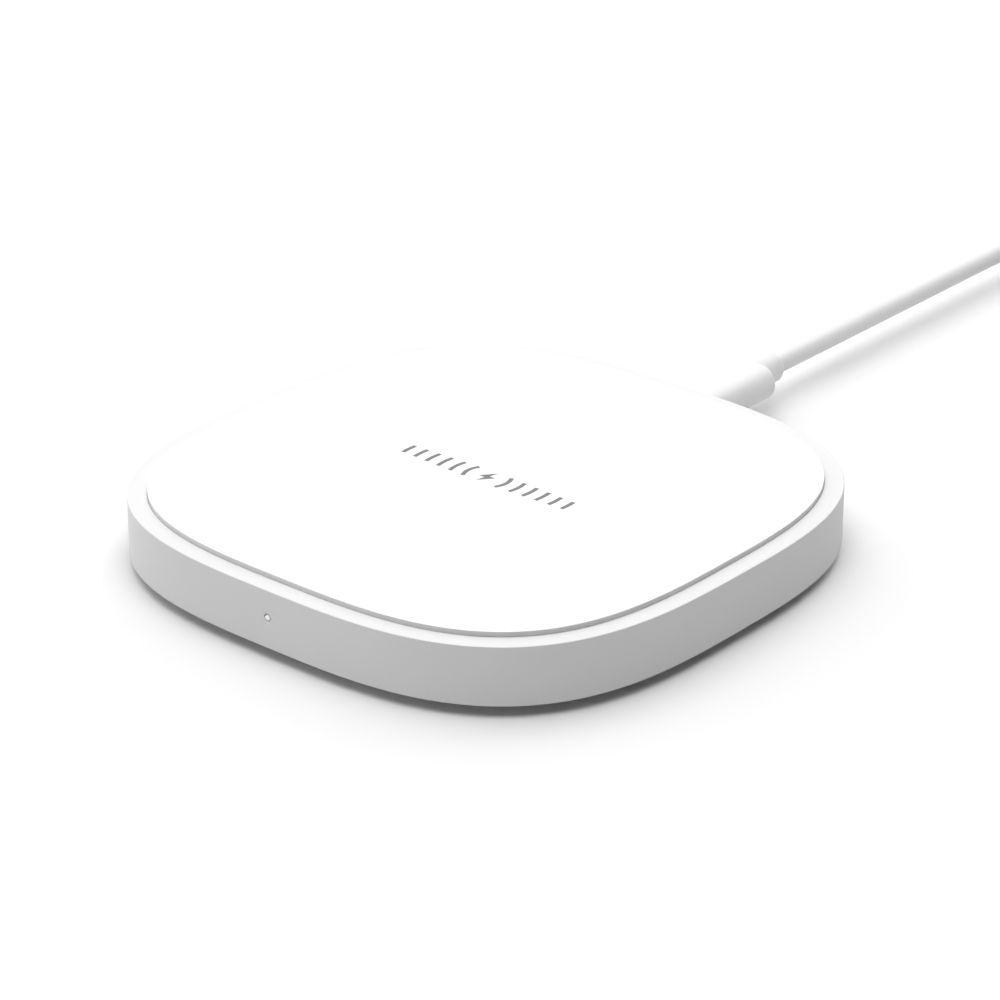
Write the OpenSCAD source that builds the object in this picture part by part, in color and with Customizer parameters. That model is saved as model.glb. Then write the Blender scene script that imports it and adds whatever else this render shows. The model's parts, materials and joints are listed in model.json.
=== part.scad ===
// Wireless charging pad with a detachable USB-C to USB-A cable, in millimetres.
// The origin is the middle of the pad on the surface it stands on. The status light faces -Y,
// the cable leaves towards +Y, and +Z is up.

/* [Pad] */
// Width and depth of the pad
pad_w = 100; // [96:1:104]
// How square the outline is: 2 is a circle, and more is squarer
squareness = 3.05; // [2.8:0.05:3.4]
// Height of the gap under the housing
foot_gap = 2.0; // [1.8:0.1:2.2]
// Height of the upright side wall
side_h = 9.65; // [9.55:0.05:9.8]
// How far the top plate stands above the rim
plate_rise = 0.85; // [0.7:0.05:1]
// Width of the flat rim around the top plate
rim_w = 3.2; // [2.8:0.1:4]
// Thickness of the top plate
plate_t = 1.5; // [1.4:0.1:1.8]
// Thickness of the housing's side wall
wall_t = 2.4; // [2.2:0.1:2.6]
// Thickness of the housing's deck, above the coil
deck_t = 0.9; // [0.8:0.1:1.1]
// Thickness of the bottom cover
cover_t = 1.2; // [1.1:0.1:1.3]

/* [Foot ring] */
// Distance from the pad's outline to the foot ring
foot_inset = 6.2; // [5.8:0.1:6.6]
// Width of the foot ring
foot_w = 6; // [5.6:0.1:6.4]
// Depth of the groove that holds the foot ring
groove_d = 0.4; // [0.3:0.1:0.5]

/* [Power coil] */
// Number of turns of litz wire
coil_turns = 10; // [8:1:10]
// Distance from one turn to the next
coil_pitch = 1.1; // [1.08:0.01:1.14]
// Inner radius of the winding
coil_inner_r = 10.2; // [9:0.1:10.4]
// Thickness of the winding
coil_t = 1.1; // [1:0.05:1.15]
// Diameter of the ferrite shield
ferrite_d = 50; // [48:0.5:50]
// Thickness of the ferrite shield
ferrite_t = 2.0; // [1.8:0.1:2.2]

/* [Board] */
// Width of the circuit board
board_w = 58; // [56:1:58]
// Thickness of the circuit board
board_t = 1.0; // [0.8:0.1:1]

/* [Port and status light] */
// Height of the port's centre above the surface
port_z = 7.1; // [7:0.05:7.2]
// Height of the status light above the surface
light_z = 7.1; // [7:0.05:7.15]
// Diameter of the status light
light_d = 1.2; // [1:0.1:1.4]

/* [Cable] */
// Diameter of the cable
cable_d = 3.8; // [3.6:0.1:3.8]
// Width of the USB-C plug's overmould
grip_w = 11.6; // [11.2:0.1:12]
// Height of the USB-C plug's overmould
grip_h = 6.3; // [6:0.1:6.4]
// Length of the USB-C plug's overmould
grip_l = 18.6; // [18:0.1:19]
// Diameter of the strain-relief collars
collar_d = 5.8; // [5.4:0.1:6]
// Length of the strain-relief collars
collar_l = 6.4; // [6:0.1:6.6]

/* [Hidden] */
$fn = 48;
eps = 0.01;

// Heights of the pad's layers, from the surface up
half_w = pad_w / 2;
rim_z = foot_gap + side_h;
top_z = rim_z + plate_rise;
tape_t = 0.2;
plate_z = top_z - plate_t;
deck_top = plate_z - tape_t;
deck_z = deck_top - deck_t;
cover_top = foot_gap + cover_t;
groove_z = foot_gap + groove_d;
film_t = 0.1;
recess_gap = 0.05;

// The coil hangs under the deck, and the ferrite and foam are pressed up against it
coil_z = deck_z - coil_t;
ferrite_z = coil_z - film_t - ferrite_t;
coil_outer_r = coil_inner_r + coil_turns * coil_pitch;
wire_w = 0.96;
lead_d = 1.0;
lead_z = coil_z - lead_d / 2;
lead_gap = 2.4;
lead_slot = 4.0;
lead_end_y = 29;
foam_d = 40;
bead_d = 2.4;
bead_h = 1;
bead_lead_d = 0.4;
film_rim = 0.5;
fence_t = 1.0;
fence_r = ferrite_d / 2 + 0.3;
fence_h = 2.4;
fence_gate = 8;

// Housing, cover and screws
lip_t = 1.4;
cover_gap = 0.15;
cover_boss = 33.4;
cover_boss_d = 5.6;
cover_pad_z = cover_top + 0.8;
board_boss = [25, 38];
board_boss_d = 5;
pilot_d = 1.7;
screw_d = 1.68;
head_d = 3.8;
cone_h = 1.05;
wafer_d = 4;
wafer_h = 0.7;
screw_l = 4;
shaft_gap = 0.2;
hex_d = 1.2;
hex_depth = 0.4;
groove_gap = 0.1;

// USB-C socket, with the sizes of the USB Type-C standard
socket_w = 8.94;
socket_h = 3.26;
mouth_w = 8.34;
mouth_h = 2.56;
socket_y = 42.2;
socket_mouth_y = half_w - 0.4;
socket_back_t = 1.0;
port_gap = 0.17;
tongue_w = 6.69;
tongue_t = 0.7;
tongue_l = 5.2;
contact_count = 12;
contact_pitch = 0.5;
contact_w = 0.25;
contact_t = 0.06;

// Circuit board
board_top = port_z - socket_h / 2;
board_z = board_top - board_t;
board_wall_gap = 0.5;
board_front_y = -45.5;
board_hole_d = 2.2;
passive = [1.6, 0.8, 0.8];
light_block = [2.4, 1.8, 2.2];
light_gap = 0.025;

// USB-C plug, with the sizes of the USB Type-C standard
plug_gap = 0.3;
grip_y = half_w + plug_gap;
grip_end_y = grip_y + grip_l;
collar_end_y = grip_end_y + collar_l;
tip_w = 8.25;
tip_h = 2.4;
tip_l = 6.65;
tip_wall = 0.3;
tip_root = 2;
slot_w = 7.0;
slot_h = 1.06;
slot_l = 5.4;
paddle = [7.6, 7.5, 0.8];

// The cable: a straight run to a flat two-layer coil, and out of it to the USB-A plug
cable_r = cable_d / 2;
coil_at = [28, 170];
wind_outer_r = 28;
wind_turns = 6.5;
wind_inner_r = wind_outer_r - cable_d * wind_turns / 2;
wind_h = 2 * cable_d;
wind_round = 1.8;
run_points = [
    [0, collar_end_y, port_z], [0, 80, 7.1], [0, 88, 7.1], [0, 96, 7.1], [0, 106, 7.1],
    [0, 116, 7.1], [0, 126, 7.1], [0, 136, 7.1], [0, 145, 7.05], [0, 152, 6.85],
    [0, 158, 6.5], [0, 163, 6.15], [0, 168, 5.85]
];
end_x = coil_at[0] + wind_outer_r;
usb_a_y = 154;
usb_a_z = 3.9;
end_points = [
    [end_x, 168, 1.9], [end_x, 165.5, 2.0], [end_x, 162.5, 2.4], [end_x, 159.5, 3.1],
    [end_x, 157, 3.75], [end_x, 155.5, 3.9], [end_x, usb_a_y, usb_a_z]
];
tube_sides = 8;

// Cable tie round the coil
tie_w = 8;
tie_t = 0.5;
tie_slack = 0.5;
tie_angle = 60;

// USB-A plug, with the sizes of the USB standard
a_grip = [15.6, 22, 7.8];
a_round = 2.6;
a_shell = [12, 12.5, 4.5];
a_wall = 0.3;
a_root = 3;
a_tongue_h = 1.95;
a_window = 2.5;
a_window_x = 3;
a_window_y = 5.2;
a_block_y = 10.5;
a_contact = [1.2, 8.6, 0.12];
a_contact_pitch = 2.3;

// ---- Shapes used more than once ----

// A point of the pad's outline at angle t, moved in by inset at right angles to the outline
function outline_point(t, inset) =
    let (
        c = cos(t),
        s = sin(t),
        r = half_w / pow(pow(abs(c), squareness) + pow(abs(s), squareness), 1 / squareness),
        nx = sign(c) * pow(abs(c), squareness - 1),
        ny = sign(s) * pow(abs(s), squareness - 1),
        n = norm([nx, ny])
    )
    [r * c - inset * nx / n, r * s - inset * ny / n];

function outline(inset, count = 96) =
    [for (i = [0 : count - 1]) outline_point(360 * i / count, inset)];

// A flat slab with the pad's outline, from height z up, with thickness t
module slab(inset, z, t) {
    translate([0, 0, z])
        linear_extrude(t)
            polygon(outline(inset));
}

// A box that stands at height z, centred on x and y
module chip(at, size, z) {
    translate([at[0] - size[0] / 2, at[1] - size[1] / 2, z])
        cube(size);
}

// A rod with a flat-sided oval section, w wide and h high, that runs along +Y from y
module oval_rod(w, h, y, l, z) {
    translate([0, y + l, z])
        rotate([90, 0, 0])
            linear_extrude(l)
                union() {
                    square([w - h, h], center = true);
                    translate([(w - h) / 2, 0])
                        circle(d = h);
                    translate([(h - w) / 2, 0])
                        circle(d = h);
                }
}

// A block with rounded long edges that runs along +Y from y
module round_block(x, w, h, y, l, z, r) {
    translate([x, y + l, z])
        rotate([90, 0, 0])
            linear_extrude(l)
                union() {
                    square([w - 2 * r, h], center = true);
                    square([w, h - 2 * r], center = true);
                    for (sx = [-1, 1], sz = [-1, 1])
                        translate([sx * (w / 2 - r), sz * (h / 2 - r)])
                            circle(r = r);
                }
}

// A round rod along +Y
module y_rod(x, y, z, d, l) {
    translate([x, y, z])
        rotate([-90, 0, 0])
            cylinder(d = d, h = l);
}

module at_cover_bosses() {
    for (sx = [-1, 1], sy = [-1, 1])
        translate([sx * cover_boss, sy * cover_boss, 0])
            children();
}

module at_board_bosses() {
    for (sx = [-1, 1], sy = [-1, 1])
        translate([sx * board_boss[0], sy * board_boss[1], 0])
            children();
}

// Unit vector from point i to the next one, or from the one before at the end of the route
function heading(points, i) =
    let (
        a = points[max(i - 1, 0)],
        b = points[min(i + 1, len(points) - 1)]
    )
    (b - a) / norm(b - a);

// A round tube swept along points, closed at both ends. The route never runs straight up.
module tube(points, r) {
    count = len(points);
    rings = [
        for (i = [0 : count - 1])
            let (
                h = heading(points, i),
                side = cross(h, [0, 0, 1]) / norm(cross(h, [0, 0, 1])),
                up = cross(side, h)
            )
            for (k = [0 : tube_sides - 1])
                let (a = 360 * (k + 0.5) / tube_sides)
                points[i] + r * (cos(a) * side + sin(a) * up)
    ];
    sides = [
        for (i = [0 : count - 2], k = [0 : tube_sides - 1])
            let (
                a = i * tube_sides + k,
                b = i * tube_sides + (k + 1) % tube_sides
            )
            [a, b, b + tube_sides, a + tube_sides]
    ];
    first = [for (k = [tube_sides - 1 : -1 : 0]) k];
    last = [for (k = [0 : tube_sides - 1]) (count - 1) * tube_sides + k];
    polyhedron(points = rings, faces = concat([first], sides, [last]), convexity = 4);
}

// ---- Casing ----

module top_plate() {
    color("white")
        slab(rim_w, plate_z, plate_t);
}

module plate_tape() {
    color("gainsboro")
        difference() {
            slab(rim_w + 1, deck_top, tape_t);
            translate([0, 0, deck_top - eps])
                cylinder(r = coil_outer_r, h = tape_t + 2 * eps);
        }
}

module port_opening() {
    oval_rod(socket_w + 2 * port_gap, socket_h + 2 * port_gap, half_w - wall_t - 1, wall_t + 2, port_z);
}

module light_opening() {
    y_rod(0, -half_w - 1, light_z, light_d + 2 * light_gap, wall_t + 2);
}

module coil_fence() {
    difference() {
        translate([0, 0, deck_z - fence_h])
            cylinder(r = fence_r + fence_t, h = fence_h + eps, $fn = 96);
        translate([0, 0, deck_z - fence_h - eps])
            cylinder(r = fence_r, h = fence_h + 3 * eps, $fn = 96);
        translate([-fence_gate / 2, 0, deck_z - fence_h - eps])
            cube([fence_gate, ferrite_d, fence_h + 3 * eps]);
    }
}

module housing() {
    color("white")
        difference() {
            union() {
                difference() {
                    slab(0, foot_gap, side_h);
                    slab(wall_t, foot_gap - eps, deck_z - foot_gap + eps);
                    slab(lip_t, foot_gap - eps, cover_t + eps);
                    slab(rim_w - recess_gap, deck_top, rim_z - deck_top + eps);
                }
                coil_fence();
                at_cover_bosses()
                    translate([0, 0, cover_pad_z])
                        cylinder(d = cover_boss_d, h = deck_z - cover_pad_z + eps);
                at_board_bosses()
                    translate([0, 0, board_top])
                        cylinder(d = board_boss_d, h = deck_z - board_top + eps);
            }
            at_cover_bosses()
                translate([0, 0, cover_pad_z - eps])
                    cylinder(d = pilot_d, h = screw_l);
            at_board_bosses()
                translate([0, 0, board_top - eps])
                    cylinder(d = pilot_d, h = screw_l - board_t + 0.5);
            port_opening();
            light_opening();
        }
}

module bottom_cover() {
    color("whitesmoke")
        difference() {
            union() {
                slab(lip_t + cover_gap, foot_gap, cover_t);
                at_cover_bosses()
                    translate([0, 0, cover_top - eps])
                        cylinder(d = cover_boss_d, h = cover_pad_z - cover_top + eps);
            }
            difference() {
                slab(foot_inset - groove_gap, foot_gap - eps, groove_d + eps);
                slab(foot_inset + foot_w + groove_gap, foot_gap - 2 * eps, groove_d + 4 * eps);
            }
            at_cover_bosses() {
                translate([0, 0, groove_z - eps])
                    cylinder(d1 = head_d + shaft_gap / 2, d2 = screw_d + 2 * shaft_gap, h = cone_h);
                cylinder(d = screw_d + 2 * shaft_gap, h = cover_pad_z + 1);
            }
        }
}

module foot_band(z, t) {
    difference() {
        slab(foot_inset, z, t);
        slab(foot_inset + foot_w, z - eps, t + 2 * eps);
    }
}

module foot_ring() {
    color("lightgray")
        foot_band(0, groove_z - film_t);
}

module foot_tape() {
    color("gray")
        foot_band(groove_z - film_t, film_t);
}

module cover_screws() {
    color("silver")
        at_cover_bosses()
            difference() {
                union() {
                    translate([0, 0, groove_z])
                        cylinder(d1 = head_d, d2 = screw_d, h = cone_h - 0.05);
                    translate([0, 0, groove_z])
                        cylinder(d = screw_d, h = screw_l + 1);
                }
                translate([0, 0, groove_z - eps])
                    cylinder(d = hex_d, h = hex_depth, $fn = 6);
            }
}

module board_screws() {
    color("silver")
        at_board_bosses()
            difference() {
                union() {
                    translate([0, 0, board_z - wafer_h])
                        cylinder(d = wafer_d, h = wafer_h);
                    translate([0, 0, board_z - eps])
                        cylinder(d = screw_d, h = screw_l);
                }
                translate([0, 0, board_z - wafer_h - eps])
                    cylinder(d = hex_d, h = hex_depth, $fn = 6);
            }
}

// ---- Power coil ----

// Radius of the winding's centreline after turn t
function wire_r(t) = coil_inner_r + coil_pitch * (t + 0.5);

module power_coil() {
    steps = 24 * (coil_turns - 1);
    outer = [
        for (i = [0 : steps])
            (wire_r(i / 24) + wire_w / 2) * [cos(90 - 15 * i), sin(90 - 15 * i)]
    ];
    inner = [
        for (i = [steps : -1 : 0])
            (wire_r(i / 24) - wire_w / 2) * [cos(90 - 15 * i), sin(90 - 15 * i)]
    ];
    color("peru")
        translate([0, 0, coil_z])
            linear_extrude(coil_t)
                polygon(concat(outer, inner));
}

// A lead that leaves the winding at radius r, steps aside to x, runs out in the ferrite's slot and
// drops to the board
module coil_lead(x, r) {
    translate([min(x, 0), r, lead_z])
        rotate([0, 90, 0])
            cylinder(d = lead_d, h = abs(x));
    y_rod(x, r, lead_z, lead_d, lead_end_y - r);
    translate([x, lead_end_y, board_top])
        cylinder(d = lead_d, h = lead_z - board_top);
    for (y = [r, lead_end_y])
        translate([x, y, lead_z])
            sphere(d = lead_d);
}

module coil_leads() {
    color("peru") {
        coil_lead(-lead_gap / 2, wire_r(0));
        coil_lead(lead_gap / 2, wire_r(coil_turns - 1));
    }
}

// The slot for the leads, which the ferrite and its adhesive film share
module slot_for_leads(z, h) {
    translate([-lead_slot / 2, -0.5, z - eps])
        cube([lead_slot, ferrite_d, h + 2 * eps]);
}

module coil_tape() {
    color("goldenrod")
        difference() {
            translate([0, 0, coil_z - film_t])
                cylinder(r = coil_outer_r + film_rim, h = film_t);
            translate([0, 0, coil_z - 1])
                cylinder(r = coil_inner_r - film_rim, h = 2);
            slot_for_leads(coil_z - film_t, film_t);
        }
}

module ferrite_shield() {
    color("dimgray")
        difference() {
            translate([0, 0, ferrite_z])
                cylinder(d = ferrite_d, h = ferrite_t, $fn = 96);
            slot_for_leads(ferrite_z, ferrite_t);
        }
}

module foam_spacer() {
    color("darkslategray")
        translate([0, 0, board_top])
            cylinder(d = foam_d, h = ferrite_z - board_top);
}

// A bead on the ferrite in the middle of the coil. Its leads run in the ferrite's slot, under and
// between the coil's leads.
module coil_thermistor() {
    bead_z = coil_z - film_t;
    z = ferrite_z + bead_lead_d;
    y = 0.4;
    color("saddlebrown") {
        translate([0, 0, bead_z])
            cylinder(d = bead_d, h = bead_h);
        for (x = [-0.35, 0.35]) {
            translate([x, y, z])
                cylinder(d = bead_lead_d, h = bead_z - z + eps);
            y_rod(x, y, z, bead_lead_d, lead_end_y - y);
            for (end_y = [y, lead_end_y])
                translate([x, end_y, z])
                    sphere(d = bead_lead_d);
            translate([x, lead_end_y, board_top])
                cylinder(d = bead_lead_d, h = z - board_top);
        }
    }
}

// ---- Circuit board ----

module circuit_board() {
    color("darkgreen")
        difference() {
            translate([0, 0, board_z])
                linear_extrude(board_t)
                    intersection() {
                        translate([-board_w / 2, board_front_y])
                            square([board_w, 2 * half_w]);
                        polygon(outline(wall_t + board_wall_gap));
                    }
            at_board_bosses()
                translate([0, 0, board_z - 1])
                    cylinder(d = board_hole_d, h = board_t + 2);
        }
}

module thermal_pad() {
    color("lightsteelblue")
        chip([10, 33], [18, 12, board_z - cover_top], cover_top);
}

module controller_chip() {
    color("black")
        chip([-13, 34], [7, 7, 0.9], board_top);
}

module bridge_transistors() {
    color("black")
        for (x = [7, 12], y = [31, 36])
            chip([x, y], [3.3, 3.3, 1], board_top);
}

module resonant_capacitors() {
    color("tan")
        for (i = [0 : 3])
            chip([-14 + 4 * i, -31.5], [3.2, 2.5, 2.5], board_top);
}

module input_capacitors() {
    color("tan")
        for (i = [0 : 2])
            chip([-8.5, 38.5 + 2.4 * i], [3.2, 1.6, 1.6], board_top);
}

module input_inductor() {
    color("dimgray")
        chip([18.5, 31.5], [5, 5, 2.8], board_top);
}

module sense_resistor() {
    color("black")
        chip([10, -31], [6.4, 3.2, 0.6], board_top);
}

module crystal() {
    color("silver")
        chip([-20.5, 32], [3.2, 2.5, 0.7], board_top);
}

module voltage_regulator() {
    color("black")
        chip([-4.2, 33.5], [3, 1.7, 1.1], board_top);
}

module small_passives() {
    color("tan") {
        for (i = [0 : 10])
            chip([-16 + 3.2 * i, -36.5], passive, board_top);
        for (i = [0 : 5])
            chip([-9 + 3.6 * i, -40], passive, board_top);
        for (i = [0 : 3])
            chip([-20.5 + 3 * i, 40.5], passive, board_top);
        for (i = [0 : 3])
            chip([8 + 3 * i, 41], passive, board_top);
    }
}

module status_led() {
    color("ivory")
        chip([0, board_front_y + 0.7], [3, 1, 1.2], board_top);
}

// A block that takes the LED's light in, and the rod that ends flush with the front wall
module light_pipe() {
    block_y = -half_w + wall_t + 0.1;
    color("azure")
        union() {
            translate([-light_block[0] / 2, block_y, board_top + 0.1])
                cube(light_block);
            y_rod(0, -half_w, light_z, light_d, wall_t + 0.2);
        }
}

// ---- USB-C socket ----

module socket_shell() {
    color("silver")
        difference() {
            oval_rod(socket_w, socket_h, socket_y, socket_mouth_y - socket_y, port_z);
            oval_rod(mouth_w, mouth_h, socket_y - 1, socket_mouth_y - socket_y + 2, port_z);
        }
}

module socket_tongue() {
    color("dimgray")
        union() {
            oval_rod(mouth_w, mouth_h, socket_y, socket_back_t, port_z);
            translate([-tongue_w / 2, socket_y + socket_back_t - eps, port_z - tongue_t / 2])
                cube([tongue_w, tongue_l, tongue_t]);
        }
}

// One row of contact strips along +Y, from y, with their underside at height z
module contact_row(y, l, z) {
    for (i = [0 : contact_count - 1])
        translate([contact_pitch * (i - (contact_count - 1) / 2) - contact_w / 2, y, z])
            cube([contact_w, l, contact_t]);
}

module socket_contacts() {
    y = socket_y + socket_back_t + 0.2;
    color("gold") {
        contact_row(y, tongue_l - 0.6, port_z + tongue_t / 2);
        contact_row(y, tongue_l - 0.6, port_z - tongue_t / 2 - contact_t);
    }
}

// ---- USB-C plug ----

module plug_shell() {
    l = tip_l + tip_root;
    color("silver")
        difference() {
            oval_rod(tip_w, tip_h, grip_y - tip_l, l, port_z);
            oval_rod(tip_w - 2 * tip_wall, tip_h - 2 * tip_wall, grip_y - tip_l - 1, l + 2, port_z);
        }
}

module plug_insulator() {
    y = grip_y - tip_l + 0.1;
    color("dimgray")
        difference() {
            oval_rod(tip_w - 2 * tip_wall, tip_h - 2 * tip_wall, y, tip_l + tip_root - 0.1, port_z);
            translate([-slot_w / 2, y - 1, port_z - slot_h / 2])
                cube([slot_w, slot_l + 1, slot_h]);
        }
}

module plug_contacts() {
    y = grip_y - tip_l + 0.8;
    color("gold") {
        contact_row(y, 4, port_z + slot_h / 2 - contact_t);
        contact_row(y, 4, port_z - slot_h / 2);
    }
}

module plug_board() {
    color("darkgreen")
        translate([-paddle[0] / 2, grip_y + tip_root, port_z - paddle[2] / 2])
            cube(paddle);
}

module plug_overmould() {
    color("white")
        difference() {
            oval_rod(grip_w, grip_h, grip_y, grip_l, port_z);
            oval_rod(tip_w, tip_h, grip_y - 1, tip_root + 1, port_z);
            translate([-paddle[0] / 2, grip_y + tip_root - eps, port_z - paddle[2] / 2])
                cube(paddle + [0, eps, 0]);
        }
}

module plug_collar() {
    color("white")
        y_rod(0, grip_end_y, port_z, collar_d, collar_l);
}

// ---- Cable ----

module cable_run() {
    color("white")
        tube(run_points, cable_r);
}

module cable_end() {
    color("white")
        tube(end_points, cable_r);
}

// The outer shape of the wound cable: two layers of turns side by side
module cable_coil() {
    inner = wind_inner_r - cable_r;
    outer = wind_outer_r + cable_r;
    color("white")
        translate([coil_at[0], coil_at[1], 0])
            rotate_extrude($fn = 96)
                union() {
                    translate([inner + wind_round, 0])
                        square([outer - inner - 2 * wind_round, wind_h]);
                    translate([inner, wind_round])
                        square([outer - inner, wind_h - 2 * wind_round]);
                    for (x = [inner + wind_round, outer - wind_round])
                        for (y = [wind_round, wind_h - wind_round])
                            translate([x, y])
                                circle(r = wind_round);
                }
}

module cable_tie() {
    inner = wind_inner_r - cable_r;
    outer = wind_outer_r + cable_r;
    color("gainsboro")
        translate([coil_at[0], coil_at[1], 0])
            rotate([0, 0, tie_angle])
                difference() {
                    translate([inner - tie_t - tie_slack, -tie_w / 2, 0])
                        cube([outer - inner + 2 * (tie_t + tie_slack), tie_w, wind_h + 2 * tie_t]);
                    translate([inner - tie_slack, -tie_w / 2 - 1, tie_t])
                        cube([outer - inner + 2 * tie_slack, tie_w + 2, wind_h]);
                }
}

// ---- USB-A plug ----

module usb_a_collar() {
    color("white")
        y_rod(end_x, usb_a_y - collar_l, usb_a_z, collar_d, collar_l);
}

module usb_a_overmould() {
    y = usb_a_y - collar_l - a_grip[1];
    color("white")
        difference() {
            round_block(end_x, a_grip[0], a_grip[2], y, a_grip[1], usb_a_z, a_round);
            translate([end_x - a_shell[0] / 2, y - 1, usb_a_z - a_shell[2] / 2])
                cube([a_shell[0], a_root + 1, a_shell[2]]);
        }
}

module usb_a_shell() {
    y = usb_a_y - collar_l - a_grip[1] - a_shell[1];
    color("silver")
        difference() {
            translate([end_x - a_shell[0] / 2, y, usb_a_z - a_shell[2] / 2])
                cube([a_shell[0], a_shell[1] + a_root, a_shell[2]]);
            translate([end_x - a_shell[0] / 2 + a_wall, y - 1, usb_a_z - a_shell[2] / 2 + a_wall])
                cube([a_shell[0] - 2 * a_wall, a_shell[1] + a_root + 2, a_shell[2] - 2 * a_wall]);
            for (sx = [-1, 1])
                translate([end_x + sx * a_window_x - a_window / 2, y + a_window_y, usb_a_z])
                    cube([a_window, a_window, a_shell[2]]);
        }
}

module usb_a_insulator() {
    y = usb_a_y - collar_l - a_grip[1] - a_shell[1];
    w = a_shell[0] - 2 * a_wall;
    z = usb_a_z - a_shell[2] / 2 + a_wall;
    color("dimgray")
        union() {
            translate([end_x - w / 2, y + 0.4, z])
                cube([w, a_shell[1] + a_root - 0.4, a_tongue_h]);
            translate([end_x - w / 2, y + a_block_y, z])
                cube([w, a_shell[1] + a_root - a_block_y, a_shell[2] - 2 * a_wall]);
        }
}

module usb_a_contacts() {
    y = usb_a_y - collar_l - a_grip[1] - a_shell[1];
    z = usb_a_z - a_shell[2] / 2 + a_wall + a_tongue_h;
    color("gold")
        for (i = [0 : 3])
            translate([end_x + a_contact_pitch * (i - 1.5) - a_contact[0] / 2, y + 1.2, z])
                cube(a_contact);
}

top_plate();
plate_tape();
housing();
bottom_cover();
foot_ring();
foot_tape();
cover_screws();
board_screws();
power_coil();
coil_leads();
coil_tape();
ferrite_shield();
foam_spacer();
circuit_board();
thermal_pad();
controller_chip();
bridge_transistors();
resonant_capacitors();
input_capacitors();
input_inductor();
sense_resistor();
crystal();
voltage_regulator();
small_passives();
coil_thermistor();
status_led();
light_pipe();
socket_shell();
socket_tongue();
socket_contacts();
plug_shell();
plug_insulator();
plug_contacts();
plug_board();
plug_overmould();
plug_collar();
cable_run();
cable_coil();
cable_end();
cable_tie();
usb_a_collar();
usb_a_overmould();
usb_a_shell();
usb_a_insulator();
usb_a_contacts();
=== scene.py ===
"""Looks of the wireless charging pad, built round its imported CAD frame.

The axes are the frame's: the pad lies on z = 0, its status light faces -Y and its cable leaves towards
+Y. Sizes are in metres, apart from the lists whose comments say millimetres. MM turns one into the other.
"""

import json
import math

import bmesh
import bpy
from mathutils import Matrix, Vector


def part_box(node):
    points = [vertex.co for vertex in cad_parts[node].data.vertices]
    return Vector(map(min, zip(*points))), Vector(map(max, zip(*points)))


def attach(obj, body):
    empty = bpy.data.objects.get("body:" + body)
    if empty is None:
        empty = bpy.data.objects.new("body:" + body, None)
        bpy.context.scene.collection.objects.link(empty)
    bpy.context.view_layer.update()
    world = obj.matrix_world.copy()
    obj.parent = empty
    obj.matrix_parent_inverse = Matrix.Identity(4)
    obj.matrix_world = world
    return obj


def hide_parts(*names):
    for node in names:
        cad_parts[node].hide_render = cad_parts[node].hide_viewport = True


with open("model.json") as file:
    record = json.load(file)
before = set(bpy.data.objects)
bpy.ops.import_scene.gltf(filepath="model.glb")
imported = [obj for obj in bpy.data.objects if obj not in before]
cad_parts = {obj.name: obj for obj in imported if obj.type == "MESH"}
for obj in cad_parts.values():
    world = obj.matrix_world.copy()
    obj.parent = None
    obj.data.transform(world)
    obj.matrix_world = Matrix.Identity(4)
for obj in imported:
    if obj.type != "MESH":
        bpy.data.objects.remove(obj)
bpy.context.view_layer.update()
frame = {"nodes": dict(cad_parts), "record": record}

MM = 0.001
NODES = frame["nodes"]

# ---- Sizes that the CAD source gives and the frame doesn't say outright ----

SQUARENESS = 3.05          # exponent of the pad's outline
RIM = 3.2 * MM             # flat rim round the top plate
WALL = 2.4 * MM            # side wall
LIP = 1.4 * MM             # side wall where the bottom cover sits inside it
RECESS_GAP = 0.05 * MM     # round the top plate
DECK = 0.9 * MM            # floor of the top plate's recess
COVER = 1.2 * MM           # bottom cover
COVER_GAP = 0.15 * MM      # round the bottom cover
FOOT_INSET = 6.2 * MM
FOOT_WIDTH = 6.0 * MM
FOOT_GAP = 0.1 * MM        # between the foot ring and its groove, on each side
FENCE_GAP = 0.3 * MM       # between the ferrite and the fence round it
FENCE_WALL = 1 * MM
FENCE_TALL = 2.4 * MM
FENCE_GATE = 8 * MM        # opening in the fence on its +Y side, for the coil's leads
COVER_BOSS = (33.4 * MM, 33.4 * MM)    # the cover's screws stand at plus and minus this on both axes
COVER_BOSS_R = 2.8 * MM
BOARD_BOSS = (25 * MM, 38 * MM)        # the board's screws, in the same way
BOARD_BOSS_R = 2.5 * MM
PILOT_R = 0.85 * MM        # screw holes in the housing
COVER_PILOT = 4 * MM       # how deep they are
BOARD_PILOT = 3.5 * MM
SCREW_R = 1.04 * MM        # screw holes in the cover
SCREW_HEAD_R = 1.95 * MM
SCREW_CONE = 1.05 * MM     # height of the countersink
PORT_GAP = 0.17 * MM       # between the socket and the wall's opening
LIGHT_R = 0.6 * MM
LIGHT_Z = 7.1 * MM
TIP_ROOT = 2.0 * MM        # how deep the plug's metal tip sits in its grip
USB_A_ROOT = 3.0 * MM
METAL = 0.3 * MM           # sheet of the connectors' shells
SOCKET_ROOF = 0.35 * MM    # the socket's sheet above and below its opening
USB_A_WINDOW = 2.5 * MM    # side of each latch window in the USB-A shell
USB_A_WINDOW_X = 3 * MM    # from the shell's middle to the middle of each window
USB_A_WINDOW_Y = 5.2 * MM  # from the shell's mouth to the near side of each window
CABLE_R = 1.9 * MM
COIL_AT = (28 * MM, 170 * MM)
COIL_R = 28 * MM           # where the cable joins and leaves its coil
COIL_TURNS = 6.5
TIE_ANGLE = math.radians(60)
TIE_WIDTH = 8 * MM
TIE_THICK = 0.5 * MM
TIE_SLACK = 0.5 * MM

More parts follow.
